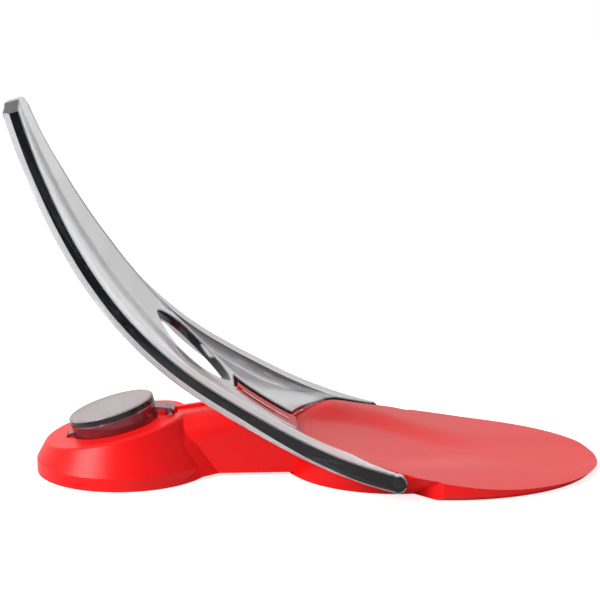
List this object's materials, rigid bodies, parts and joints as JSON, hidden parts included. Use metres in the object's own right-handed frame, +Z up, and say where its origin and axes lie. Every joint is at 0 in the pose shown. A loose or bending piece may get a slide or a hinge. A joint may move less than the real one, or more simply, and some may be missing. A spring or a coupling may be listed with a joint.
{
  "type": "egg slicer",
  "caption": "Table-top egg slicer: see-through press lever over a standing blade, a wide slice scoop, and a hinged lid over an egg piercer.",
  "frame": {"origin": "on the table, under the middle of the whole slicer", "axes": "+X towards the scoop tip, +Y across the width, +Z up"},
  "size_m": [0.2048, 0.0988, 0.1297],
  "materials": {
    "red_plastic": "high gloss ABS",
    "smoke_plastic": "clear smoke-grey acrylic, polished",
    "dish_plastic": "fine matt",
    "cover_plastic": "matt underside",
    "steel": "stainless, polished",
    "screw_steel": "zinc plated",
    "pad_rubber": "matt"
  },
  "bodies": {
    "base": {"base_shell": "red_plastic", "blade": "steel", "blade_pin_1": "steel", "blade_pin_2": "steel", "cover_left": "cover_plastic", "cover_right": "cover_plastic", "hinge_pin_left": "steel", "hinge_pin_right": "steel", "lid_pin": "steel", "needle": "steel", "pad_1": "pad_rubber", "pad_2": "pad_rubber", "pad_3": "pad_rubber", "pad_4": "pad_rubber", "pad_5": "pad_rubber", "pad_6": "pad_rubber", "piercer_dish": "dish_plastic", "screw_1": "screw_steel", "screw_2": "screw_steel", "screw_3": "screw_steel", "screw_4": "screw_steel", "screw_5": "screw_steel", "screw_6": "screw_steel"},
    "press_lever": {"lever": "smoke_plastic"},
    "piercer_cover": {"piercer_lid": "smoke_plastic"}
  },
  "joints": [
    {"name": "lever_hinge", "type": "hinge", "parent": "base", "child": "press_lever", "pos_m": [0.0252, 0, 0.007], "axis": [0, 1, 0], "range_deg": [0, 55]},
    {"name": "lid_hinge", "type": "hinge", "parent": "base", "child": "piercer_cover", "pos_m": [-0.0496, 0, 0.0203], "axis": [0, 1, 0], "range_deg": [0, 60]}
  ]
}
